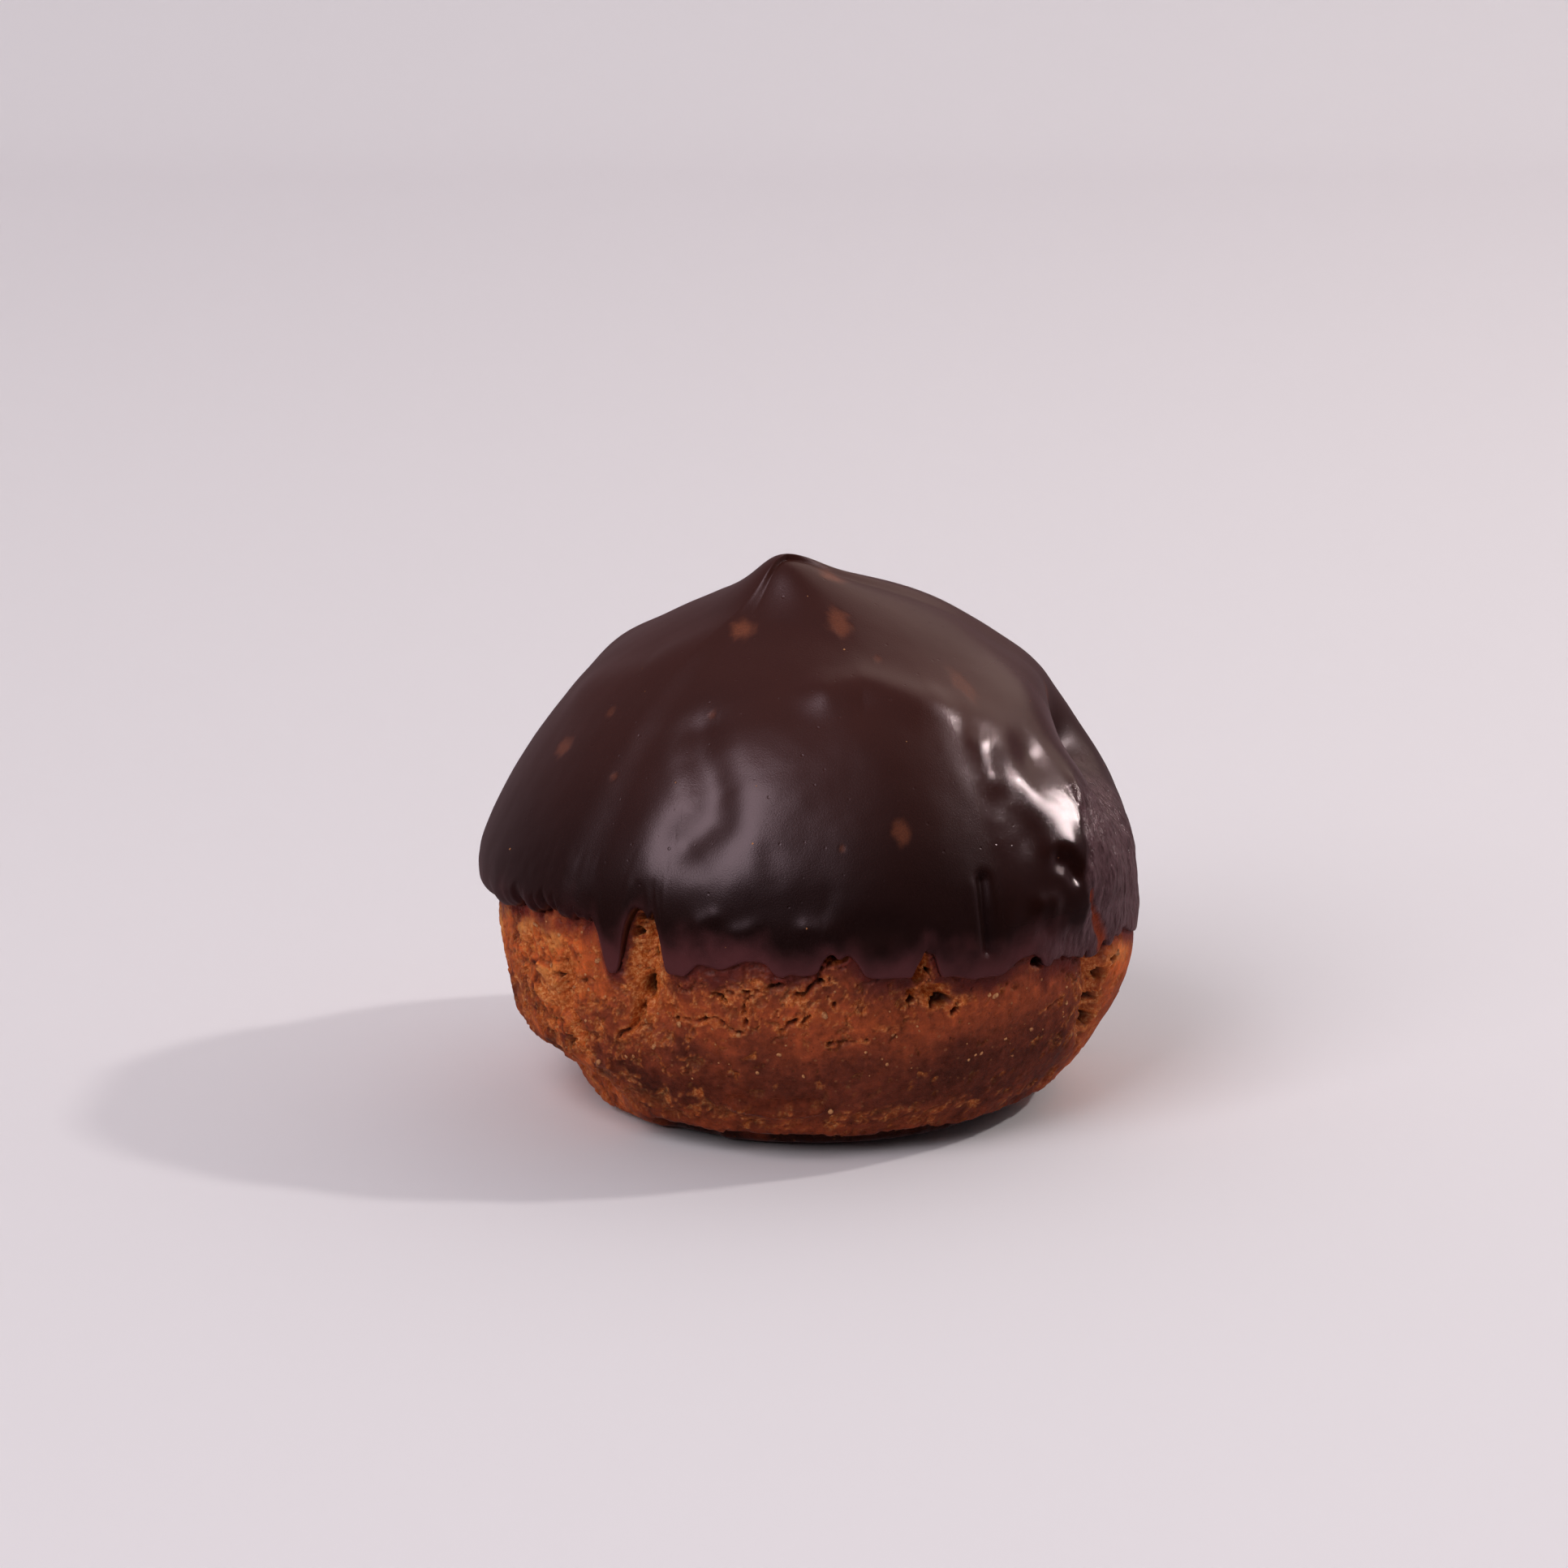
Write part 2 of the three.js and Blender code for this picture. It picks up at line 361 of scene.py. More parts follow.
# How far the thin edge wanders, and how much less where its lip is thick.
EDGE_RAGGED, EDGE_CALMER = 0.22, 0.17
EDGE_RADIUS = 28  # about the bun's own radius there


def edge_detail(bearing):
    """The edge with its small tongues and notches."""
    angle = np.radians(bearing)
    ring = np.stack([np.sin(angle), -np.cos(angle), 0 * angle], -1) * EDGE_RADIUS
    calm = smooth(-57, -62, bearing) * smooth(-175, -165, bearing)
    height = edge_height(bearing) + (EDGE_RAGGED - EDGE_CALMER * calm) * waves(ring, 3.2, 4, seed=30)
    for at, half_width, drop in TONGUES:
        height -= drop * np.exp(-((turn(bearing, at) / half_width) ** TONGUE_FALL))
    return height


# ---------------------------------------------------------------------------
# Materials


def baked_crust():
    """Choux crust: dry, hard and thin, browned by the oven, so it is matt with a faint egg-wash sheen.

    Where it tore, the crumb under it is a pale spongy honeycomb that never browned."""
    material, tree, shader = new_material("baked_choux_crust")
    place_on = add(tree, "TexCoord").outputs["Object"]
    broad = add(tree, "TexNoise", {"Vector": place_on, "Scale": 1000 / 7, "Detail": 4, "Roughness": 0.6})
    fine = add(tree, "TexNoise", {"Vector": place_on, "Scale": 1000 / 0.9, "Detail": 5, "Roughness": 0.7})
    grain = add(tree, "TexNoise", {"Vector": place_on, "Scale": 1000 / 0.35, "Detail": 3, "Roughness": 0.7})
    crumb = attribute(tree, "crumb")

    # the brown layer holds the oven's browning together with painted shade low on the side, in pits, crevices
    # and the foot's recess, and painted light at the left, along the right edge and on raised crags
    shade = add(tree, "ValToRGB", {"Fac": attribute(tree, "brown")}, stops=[
        (0.0, colour("#df9048")), (0.25, colour("#c75c22")), (0.5, colour("#95401c")),
        (0.75, colour("#682a16")), (1.0, colour("#22100b")),
    ]).outputs[0]
    patches = add(tree, "ValToRGB", {"Fac": broad.outputs["Fac"]}, stops=[
        (0.35, grey(0.8)), (0.65, grey(1.2)),
    ])
    shade = mixed(tree, 0.8, shade, patches.outputs[0], "MULTIPLY")
    mottle = add(tree, "ValToRGB", {"Fac": fine.outputs["Fac"]}, stops=[
        (0.32, grey(0.62)), (0.68, grey(1.4)),
    ])
    shade = mixed(tree, 0.9, shade, mottle.outputs[0], "MULTIPLY")

    # pale flecks of flour and dry dough, 0.1 to 0.3 mm wide, each round a pore darkened with painted shade
    flecks = add(tree, "TexVoronoi", {"Vector": place_on, "Scale": 1000 / 0.6, "Randomness": 1.0})
    chance = add(tree, "SeparateColor", {0: flecks.outputs["Color"]})
    size = add(tree, "MapRange", {0: chance.outputs[0], 1: 0.4, 2: 1.0, 3: 0.0, 4: 0.3})
    dots = add(tree, "MapRange", {0: flecks.outputs["Distance"], 1: size.outputs[0], 2: 0.0, 3: 0.0, 4: 0.6})
    shade = mixed(tree, dots.outputs[0], shade, colour("#cb8452"))
    # the middle of every cell darkened: painted shade in a tiny pore
    pits = add(tree, "ValToRGB", {"Fac": flecks.outputs["Distance"]}, stops=[
        (0.05, grey(0.45)), (0.2, grey(1)),
    ])
    shade = mixed(tree, 0.8, shade, pits.outputs[0], "MULTIPLY")

    sponge = add(tree, "ValToRGB", {"Fac": grain.outputs["Fac"]}, stops=[
        (0.3, colour("#8a3610")), (0.5, colour("#c8682a")), (0.7, colour("#eaa868")),
    ]).outputs[0]
    shade = mixed(tree, crumb, shade, sponge)
    stain = attribute(tree, "stain")
    soaked = mixed(tree, 1.0, shade, colour("#b0605a"), "MULTIPLY")
    soaked = mixed(tree, 0.6, soaked, colour("#602c26"))
    shade = mixed(tree, stain, shade, soaked)
    # cracks, steam holes, pits and the crumb's bubbles painted near black: painted shade in those hollows
    shade = mixed(tree, attribute(tree, "painted_hollow_shade"), shade, colour("#1e0903"))

    rough = add(tree, "MapRange", {0: fine.outputs["Fac"], 1: 0.3, 2: 0.7, 3: 0.36, 4: 0.62})
    glossy = attribute(tree, "glossy")
    rough = add(tree, "Mix", {0: glossy, 2: rough.outputs[0], 3: 0.2}, data_type="FLOAT")
    rough = add(tree, "Mix", {0: stain, 2: rough.outputs[0], 3: 0.34}, data_type="FLOAT")
    bump = add(tree, "Bump", {"Strength": 0.8, "Distance": 0.2 * MM, "Height": fine.outputs["Fac"]})
    bump = add(tree, "Bump", {"Strength": 0.8, "Distance": 0.1 * MM, "Height": grain.outputs["Fac"],
                              "Normal": bump.outputs[0]})
    tree.links.new(shade, shader.inputs["Base Color"])
    tree.links.new(rough.outputs[0], shader.inputs["Roughness"])
    tree.links.new(bump.outputs[0], shader.inputs["Normal"])
    tree.links.new(glossy, shader.inputs["Coat Weight"])
    shader.inputs["Coat Roughness"].default_value = 0.2
    shader.inputs["IOR"].default_value = 1.45
    shader.inputs["Specular IOR Level"].default_value = 0.3
    shader.inputs["Subsurface Weight"].default_value = 0.12
    shader.inputs["Subsurface Scale"].default_value = 0.6 * MM
    shader.inputs["Subsurface Radius"].default_value = (1.0, 0.45, 0.2)
    return material


def set_chocolate():
    """Dark chocolate glaze, set hard: nearly black brown and satin, with the fine ripple of its cocoa
    butter, a few pin holes, and a film so thin along its edge that the crust glows through it, tinted purple
    there as a painted reflection of the pale paper; the wrinkled film on its right shoulder is painted
    purple-grey as its sheen."""
    material, tree, shader = new_material("set_dark_chocolate")
    place_on = add(tree, "TexCoord").outputs["Object"]
    broad = add(tree, "TexNoise", {"Vector": place_on, "Scale": 1000 / 12, "Detail": 3})
    ripple = add(tree, "TexNoise", {"Vector": place_on, "Scale": 1000 / 0.14, "Detail": 2, "Roughness": 0.6})
    tall = add(tree, "Mapping", {"Vector": place_on, "Scale": (1, 1, 0.34)})
    wrinkle = add(tree, "TexNoise", {"Vector": tall.outputs[0], "Scale": 1000 / 0.55, "Detail": 3,
                                     "Roughness": 0.6})
    holes = add(tree, "TexVoronoi", {"Vector": place_on, "Scale": 1000 / 1.5, "Randomness": 1.0})
    pin = add(tree, "MapRange", {0: holes.outputs["Distance"], 1: 0.05, 2: 0.11, 3: 0.0, 4: 1.0})

    shade = mixed(tree, attribute(tree, "matt"), colour("#1e0a06"), colour("#391911"))
    cloudy = add(tree, "ValToRGB", {"Fac": broad.outputs["Fac"]}, stops=[
        (0.35, grey(0.9)), (0.65, grey(1.1)),
    ])
    shade = mixed(tree, 1.0, shade, cloudy.outputs[0], "MULTIPLY")
    # near its edge the chocolate turns purple-brown: partly the crust through the thin film, partly painted
    # reflection of the pale paper
    shade = mixed(tree, attribute(tree, "thin"), shade, colour("#582a2b"))
    mottle = add(tree, "ValToRGB", {"Fac": ripple.outputs["Fac"]}, stops=[
        (0.3, grey(0.7)), (0.7, grey(1.25)),
    ])
    speck = mixed(tree, 1.0, colour("#85492e"), mottle.outputs[0], "MULTIPLY")
    shade = mixed(tree, attribute(tree, "speck"), shade, speck)
    film = attribute(tree, "film")
    # the wrinkled film painted purple-grey and lighter on the crests of its wrinkles: painted sheen over the
    # chocolate
    painted_film_sheen = add(tree, "ValToRGB", {"Fac": wrinkle.outputs["Fac"]}, stops=[
        (0.3, colour("#3a2224")), (0.7, colour("#6c5054")),
    ])
    shade = mixed(tree, film, shade, painted_film_sheen.outputs[0])
    shade = mixed(tree, attribute(tree, "bare"), shade, colour("#8c3410"))

    wet = attribute(tree, "wet")
    rough = add(tree, "MapRange", {0: wet, 3: 0.36, 4: 0.19})
    lacquer = add(tree, "MapRange", {0: wet, 3: 0.05, 4: 0.4})
    grainy = add(tree, "MapRange", {0: wet, 3: 0.8, 4: 1.0})
    bump = add(tree, "Bump", {"Strength": grainy.outputs[0], "Distance": 0.016 * MM,
                              "Height": ripple.outputs["Fac"]})
    bump = add(tree, "Bump", {"Strength": 0.6, "Distance": 0.03 * MM, "Height": pin.outputs[0],
                              "Normal": bump.outputs[0]})
    bump = add(tree, "Bump", {"Strength": film, "Distance": 0.35 * MM, "Height": wrinkle.outputs["Fac"],
                              "Normal": bump.outputs[0]})
    tree.links.new(shade, shader.inputs["Base Color"])
    tree.links.new(rough.outputs[0], shader.inputs["Roughness"])
    tree.links.new(bump.outputs[0], shader.inputs["Normal"])
    tree.links.new(bump.outputs[0], shader.inputs["Coat Normal"])
    tree.links.new(lacquer.outputs[0], shader.inputs["Coat Weight"])
    shader.inputs["IOR"].default_value = 1.5
    shader.inputs["Specular IOR Level"].default_value = 0.6
    shader.inputs["Specular Tint"].default_value = (1.0, 0.76, 0.84, 1.0)
    shader.inputs["Coat Roughness"].default_value = 0.11
    shader.inputs["Coat IOR"].default_value = 1.5
    return material


def dry_crumb():
    """Crumbs of torn choux that stuck on: dry, matt and golden, with darker toasted sides."""
    material, tree, shader = new_material("dry_toasted_crumb")
    place_on = add(tree, "TexCoord").outputs["Object"]
    grain = add(tree, "TexNoise", {"Vector": place_on, "Scale": 1000 / 0.4, "Detail": 3, "Roughness": 0.6})
    shade = add(tree, "ValToRGB", {"Fac": grain.outputs["Fac"]}, stops=[
        (0.35, colour("#8a4a26")), (0.6, colour("#c48a5a")),
    ])
    tree.links.new(shade.outputs[0], shader.inputs["Base Color"])
    shader.inputs["Roughness"].default_value = 0.6
    shader.inputs["Specular IOR Level"].default_value = 0.3
    return material


# ---------------------------------------------------------------------------
# The bun

CRUST_COLUMNS = 512
FLAT = -0.1  # rows below 0 are the flat underside, whose middle is here, and those above go up the section
CRUST_ROWS = [*np.linspace(FLAT, -0.012, 9), *np.linspace(0, 0.52, 92), *np.linspace(0.54, 1, 14)]

# Torn places where the crumb shows: bearing and height of each end, half width of the opening.
OPENINGS = [
    (-32, 23.4, -31, 20.8, 1.8),
    (-31.5, 20.8, -32.0, 18, 1.3),
    (-32, 18.2, -32.4, 15.4, 1.5),
    (-32.8, 15.4, -35.2, 12.3, 0.6),
    (-50, 16.5, -51.5, 12.5, 1.0),
    (-51.5, 12.5, -47.5, 8.0, 0.7),
    (21.6, 16.6, 23.6, 16.5, 0.85),
    (18.2, 16.6, 18.6, 16.5, 0.5),
    (20.0, 20.2, 19.8, 18.2, 0.75),
    (63.5, 17.2, 65.5, 13.5, 1.6),
    (65.5, 13.5, 67.5, 9.0, 1.1),
    (3.0, 20.4, 5.5, 20.6, 0.7),
    (128, 19, 133, 11, 2.0),
    (-166, 18, -160, 12, 1.8),
]

# Deep holes left by steam, painted near black inside as shade: bearing, height, half width, half height.
HOLES = [
    (-33.6, 21.2, 0.35, 0.45), (-30.4, 19.2, 0.55, 0.5), (-32.4, 15.9, 0.55, 1.0), (-33.2, 14.0, 0.45, 0.35),
    (-39, 20.2, 0.3, 0.2), (-33.4, 22.9, 0.25, 0.25), (-30.2, 21.6, 0.25, 0.5),
    (-16.2, 16.1, 0.4, 0.25), (-12, 17.0, 0.45, 0.25), (-52.4, 15.5, 0.35, 0.3), (-56.6, 10.5, 0.3, 0.4),
    (18.6, 15.9, 0.45, 0.35), (24.3, 15.6, 1.0, 0.55), (45.4, 17.6, 0.85, 0.6), (21.3, 18.6, 0.35, 0.3),
    (68.6, 13.9, 0.5, 0.5), (70.5, 14.9, 0.5, 0.4), (68.2, 11.1, 0.45, 0.6), (69.2, 8.9, 0.35, 0.8),
    (26.7, 14.5, 0.5, 0.25), (4.7, 20.4, 0.9, 0.3), (1.8, 18.1, 0.4, 0.3), (66, 16.0, 0.3, 0.6),
    (131, 14, 0.8, 1.0), (128, 17.5, 0.6, 0.5), (-163, 14, 0.7, 0.9), (-165, 17, 0.5, 0.5),
]

# Cracks in the skin: places along each, half width.
CRACKS = [
    ([(-26, 13.9), (-21.5, 13.9), (-18, 14.4), (-16.8, 13.9), (-14, 13.4), (-12.4, 13.5), (-12, 14.5)], 0.2),
    ([(-18.5, 16.6), (-15.5, 16.6), (-13.5, 17.0), (-11.6, 16.6), (-11, 17.1), (-8.7, 17.5),
      (-5.8, 17.9)], 0.26),
    ([(-11.2, 16.6), (-12.3, 15.2)], 0.18),
    ([(-5.5, 13.8), (-4, 14.4), (-2, 14.4), (-0.8, 14.8), (1.2, 15.4)], 0.2),
    ([(-3.4, 16.5), (-1, 17.0), (-0.5, 17.9), (1.5, 18.4), (2, 19.2), (3.5, 20.4)], 0.32),
    ([(3.5, 16.1), (4.3, 15.7), (5.8, 15.2)], 0.16),
    ([(3.2, 12.2), (6.2, 12.7), (10, 12.7)], 0.15),
    ([(-25, 17.0), (-22.5, 17.0), (-19.8, 17.6)], 0.2),
    ([(-24.2, 18.3), (-21.3, 19.3)], 0.18),
    ([(-21.4, 16.1), (-18.8, 15.6)], 0.14),
    ([(-28, 15.8), (-25.3, 14.7)], 0.16),
    ([(-38, 11.3), (-35.2, 12.2), (-32.2, 13.2)], 0.28),
    ([(-46.8, 15.7), (-42.3, 16.2)], 0.18),
    ([(-48, 10.2), (-43.5, 10.5), (-41.4, 12.3)], 0.16),
    ([(11.5, 13.9), (16, 13.5)], 0.12),
    ([(24.5, 14.6), (28.5, 15.3)], 0.16),
    ([(48, 12.6), (53, 13.2), (61, 14.8)], 0.12),
    ([(-57, 7), (-52.5, 9.2), (-50.5, 12)], 0.18),
    ([(95, 15), (101, 13.2), (108, 14.1), (112, 12.6)], 0.28),
    ([(-75, 15.2), (-69, 14), (-64, 14.6)], 0.2),
    ([(150, 13), (158, 14.4), (166, 13.6), (174, 14.9)], 0.28),
    ([(-140, 15), (-132, 13.8), (-124, 14.6)], 0.26),
]

# Where the skin is flaky: bearing, height, half width in degrees, half height, how much.
FLAKY = [
    (-62, 13, 22, 10, 1.0), (-31, 17, 8, 6, 1.0), (-8, 18, 26, 2.6, 0.9), (22, 17, 9, 2.2, 0.7),
    (64, 13, 7, 7, 0.9), (-45, 4.6, 36, 1.5, 0.9), (30, 4.2, 45, 0.9, 0.6), (105, 14, 16, 6, 0.5),
    (130, 15, 14, 8, 0.9), (-163, 15, 14, 7, 0.9), (-115, 13, 20, 7, 0.6), (170, 4.6, 70, 1.4, 0.6),
]

# Smears of egg wash that baked glossy near the foot: the ends and half height of each, and the rolls of
# dough below them.
GLOSSY = [(-15.5, 6.0, 0.8, 6.0, 1.0), (-45, 8.2, -42, 8.2, 0.6)]
ROLLED = [([(-15.5, 5.5), (-8, 5.1), (1, 5.5)], 0.8, 0.6), ([(-45.5, 7.8), (-42, 7.8)], 0.6, 0.4)]


def close_up(bearing, share):
    """Where the skin is torn and cracked finely enough to need closer faces."""
    height = np.interp(share, SHARES, HEIGHTS)
    return (share > 0) & (bearing > -70) & (bearing < 74) & (height > 8.5) & (height < 24.5)


def torn(points):
    """How far each point is inside a torn place, as a share of its half width, and below 0 outside all."""
    ragged = waves(points, 1.5, 3, seed=5)
    inside = np.full(len(points), -9.0)
    for bearing_a, height_a, bearing_b, height_b, half_width in OPENINGS:
        away = away_from_line(points, place(bearing_a, height_a), place(bearing_b, height_b))
        inside = np.maximum(inside, 1 - away / (half_width * (1 + 0.5 * ragged)).clip(0.2))
    return inside


def cracked(points):
    """How deep each point is in a crack, and how near the curled lips of one, each from 0 to 1."""
    wavy = stirred(stirred(points, 1.3, 0.45, seed=11), 0.45, 0.16, seed=12)
    open_here = smooth(-0.45, 0.05, waves(points, 2.0, 2, seed=14))
    wide = 0.75 + 0.5 * waves(points, 0.9, 2, seed=15)
    depth, lip = np.zeros(len(points)), np.zeros(len(points))
    for route, half_width in CRACKS:
        away = away_from_route(wavy, route) / (half_width * wide.clip(0.3))
        depth = np.maximum(depth, np.exp(-(away**2)))
        lip = np.maximum(lip, band(away, 2.0, 0.9))
    return depth * open_here, lip * open_here * (1 - depth)


def holed(points):
    """How deep each point is in a hole, from 0 to 1, and how near its torn rim."""
    ragged = stirred(stirred(points, 1.3, 0.35, seed=44), 0.5, 0.18, seed=45)
    away = np.full(len(points), 9.0)
    for at, height, half_width, half_height in HOLES:
        off = ragged - place(at, height)
        across = off @ (math.cos(math.radians(at)), math.sin(math.radians(at)), 0)
        down = np.sqrt(((off**2).sum(1) - across**2).clip(0))
        away = np.minimum(away, np.hypot(across / half_width, down / half_height))
    return smooth(1.15, 0.75, away), band(away, 1.35, 0.25)


def flaky(bearing, points):
    """How flaky the skin is, from 0 where it is whole and smooth to 1."""
    amount = np.zeros(len(points))
    for at, height, half_width, half_height, most in FLAKY:
        off = (turn(bearing, at) / half_width) ** 2 + ((points[:, 2] - height) / half_height) ** 2
        amount = np.maximum(amount, most * np.exp(-0.7 * off))
    return (amount * (1 + 0.5 * waves(points, 4, 2, seed=16))).clip(0, 1)


def near_smear(points):
    """How much each point is in a smear of egg wash, from 0 to 1."""
    amount = np.zeros(len(points))
    for bearing_a, height_a, bearing_b, height_b, half_width in GLOSSY:
        away = away_from_line(points, place(bearing_a, height_a), place(bearing_b, height_b))
        amount = np.maximum(amount, smooth(1.3, 0.7, away / half_width))
    return amount


def skin_waves(points):
    """Broad unevenness of the baked skin, which the thin edge of the chocolate follows."""
    return 0.2 * waves(points, 7, 2, seed=1) + 0.07 * waves(points, 2.4, 2, seed=26)


# Millimetres that each kind of break goes into the skin, and that its rim stands out of it.
CRACK_DEPTH, LIP_RISE = 0.8, 0.13
HOLE_DEPTH, RAG_RISE = 1.1, 0.08
PIT_DEPTH, RIM_RISE = 0.22, 0.07
OPENING_DEPTH, SHORE_RISE = 0.5, 0.16
CREVICE_DEPTH = 0.25
SMEAR_RIPPLE = 0.22
TEAR_SHARE = 0.5  # of the depth of a tear, as the opening in it makes the rest
# The foot: how far back it sits under its ledge, the ledge's height and rise, the notch where it lifts.
FOOT_DEPTH, LEDGE_HEIGHT, LEDGE_RISE, NOTCH_DEPTH = 0.9, 2.1, 0.25, 1.2
# How far the skin is sunk under the chocolate: at its edge, and more over the dome, where the shell hides it.
SUNK_AT_EDGE, SUNK_DOME = 0.06, 0.9
STAIN_DROP = 2.8  # how far below its edge the chocolate stained the skin


def make_bun():
    """The whole bun as one skin: crust and torn crumb at the side, the dome under the chocolate, the base."""
    net, bearing, along = wrap(CRUST_COLUMNS, CRUST_ROWS, close_up)
    share = along.clip(0, 1)
    point, outward = plain_skin(bearing, share)
    height = point[:, 2]
    under = along < 0
    inward = (along / FLAT).clip(0, 1)
    centre = np.array([*FOOT, 0.0])
    point[under] += (centre - point[under]) * inward[under, None]
    outward[under] = (0, 0, -1)

    edge = edge_detail(bearing)
    covered = smooth(-0.3, 0.5, height - edge)
    shown = (1 - covered) * smooth(0.0, 1.0, height)
    opening = torn(point)
    hole = smooth(0.0, 0.3, opening) * smooth(0.6, -0.2, height - edge)
    crack, lip = cracked(point)
    crack, lip = crack * (1 - hole), lip * (1 - hole)
    cave, rag = holed(point)
    flakes = flaky(bearing, point) * (1 - hole)
    smear = near_smear(point)

    # the sponge of the crumb: bubbles of three sizes with thin walls
    stirred_point = stirred(point, 1.2, 0.3, seed=2)
    big, _ = bubbles(stirred_point, 1.35, seed=2)
    small, _ = bubbles(stirred_point, 0.7, seed=3)
    tiny, _ = bubbles(point, 0.42, seed=4)
    pits = 0.7 * smooth(0.45, 0.1, big) + 0.4 * smooth(0.42, 0.12, small) + 0.15 * smooth(0.4, 0.1, tiny)

    # where the skin is flaky it is pitted: sunk spots with steep ragged sides and pale crumbly rims
    parting = stirred(stirred(point, 2.2, 0.8, seed=21), 0.6, 0.25, seed=22)
    grit = waves(parting, 1.5, 4, seed=6)
    fine_grit = waves(parting, 0.55, 3, seed=25)
    depth_here = grit + 0.35 * fine_grit - 0.55 + 0.68 * flakes
    pit = smooth(0.0, 0.16, depth_here)
    rim = band(depth_here, -0.07, 0.07) * smooth(0.05, 0.25, flakes)
    crag = waves(point, 2.6, 3, seed=31)

    left = smooth(35, 55, -bearing) * smooth(140, 110, -bearing)
    right = smooth(18, 40, bearing) * smooth(100, 60, bearing)

    # crevices that part the flaky skin into plates
    _, wall = bubbles(stirred(stirred(point, 1.8, 0.6, seed=48), 0.6, 0.2, seed=51), 1.8, seed=49)
    crevice = smooth(0.2, 0.03, wall) * flakes
    crevice *= smooth(-0.25, 0.25, waves(point, 3, 2, seed=50))
    crevice *= 0.4 + 0.6 * left

    relief = skin_waves(point)
    relief += flakes * ((0.28 + 0.14 * left) * crag + 0.08 * fine_grit) + (1 - flakes) * 0.03 * fine_grit
    pitted = pit * (PIT_DEPTH + 0.12 * fine_grit)
    relief -= CRACK_DEPTH * crack + HOLE_DEPTH * cave + pitted + CREVICE_DEPTH * crevice
    relief += LIP_RISE * lip + RIM_RISE * rim + RAG_RISE * rag + SHORE_RISE * band(opening, -0.15, 0.15)
    relief -= hole * (OPENING_DEPTH + 0.9 * smooth(0.2, 1.0, opening) + pits)
    ripple = waves(point, 0.9, 2, seed=27, stretch=(1.6, 1.6, 0.7))
    relief += rise_of(ROLLED, point) + smear * SMEAR_RIPPLE * ripple

    # the foot sits back a little under a ragged ledge, and lifts off the table at the left
    ledge = LEDGE_HEIGHT + 0.45 * waves(point, 5, 4, seed=8)
    shown_foot = 1 - 0.85 * smooth(-38, -44, bearing) * smooth(-115, -95, bearing)
    foot = smooth(ledge + 0.2, ledge - 0.2, height) * shown_foot
    relief -= FOOT_DEPTH * foot * smooth(0.1, 0.8, height)
    relief += (LEDGE_RISE + 0.2 * waves(point, 0.9, 2, seed=28)) * band(height - ledge, 0.5, 0.5)
    relief += foot * 0.16 * waves(point, 1.1, 3, seed=29)
    lifted = smooth(-24, -27, bearing) * smooth(-43, -38, bearing)
    notch = smooth(2.4, 1.6, height + 0.3 * waves(point, 2.5, 2, seed=46))
    relief -= NOTCH_DEPTH * lifted * notch * smooth(0, 0.5, height)

    proud = rise_of(SWELLS, point) + rise_of(TEARS, point) * TEAR_SHARE
    sunk = SUNK_AT_EDGE * covered + SUNK_DOME * smooth(2, 6, height - edge)
    lift = proud * smooth(*BASE_HEIGHTS, height) + relief * shown - sunk
    lift += skin_waves(point) * covered * smooth(6, 2, height - edge)
    lift[under] = -np.abs(0.06 * waves(point[under], 2, 3, seed=9)) * smooth(0, 0.4, inward[under])
    placed = point + outward * lift[:, None]

    # browned most round and below the belly, the darkening low on the side partly painted shade where it
    # turns under; paler at the left, partly golden flaky skin and partly painted light from the soft box, and
    # paler along the right edge as painted light from the lamps there
    mottled = waves(point, 5, 3, seed=20)
    brown = 0.47 + 0.27 * smooth(16, 9, height) - 0.1 * smooth(6, 3.5, height) + 0.04 * right
    brown -= 0.34 * smooth(56, 74, bearing) * smooth(120, 100, bearing)
    # paler on the raised crags as painted light, darker in the pits as painted shade
    brown += -0.36 * left + 0.12 * mottled - 0.14 * flakes * crag + 0.12 * pit - 0.06 * fine_grit
    # the foot is painted near black: partly burnt, partly painted shade in the recess under its ledge, with
    # painted shadow in the gap where it lifts off the table
    burnt_and_shaded = smooth(0.8, -0.1, waves(point, 2.5, 3, seed=33) - 0.6 * lifted)
    brown += (0.93 - brown) * foot * burnt_and_shaded
    pale = waves(parting, 2.6, 3, seed=47)
    # darker just under the chocolate, and darker in the crevices as painted shade
    brown += 0.1 * smooth(15, 17.5, height) * (1 - left) + 0.4 * crevice - 0.6 * flakes * left * pale
    golden = smooth(-0.2, 0.4, waves(point, 2.4, 3, seed=34))
    crumbly = 0.6 * rim + 0.6 * lip + 0.6 * rag + pit * (0.2 + 0.7 * golden * smooth(-0.3, 0.4, fine_grit))
    crumbly += 0.5 * band(opening, -0.12, 0.14) + 0.75 * flakes * left * smooth(0.12, 0.3, pale)
    stained = smooth(STAIN_DROP, 0.0, edge + 1.1 * waves(point, 2.2, 4, seed=32) - height)
    layers = {
        "brown": brown.clip(0, 1),
        "crumb": np.maximum(hole * 0.9, crumbly * (1 - foot)).clip(0, 1),
        # near black deep in cracks, pits, holes and the crumb's bubbles: painted shade in the hollows
        "painted_hollow_shade": np.maximum(
            smooth(0.45, 0.95, crack) + 0.25 * pit * smooth(0.1, 0.5, -fine_grit) + 0.9 * cave,
            hole * (smooth(0.35, 0.05, big) * 0.9 + smooth(0.3, 0.05, small) * 0.5),
        ).clip(0, 0.95),
        "stain": stained * (1 - 0.8 * hole),
        "glossy": smear,
    }
    return finish_piece(net, "choux_crust", placed, layers, "choux_bun", baked_crust())


# ---------------------------------------------------------------------------
# The chocolate

GLAZE_COLUMNS = 480
LINING_ROWS = 16  # enough that the lining follows the hollow at the right
OUTSIDE_ROWS = 84

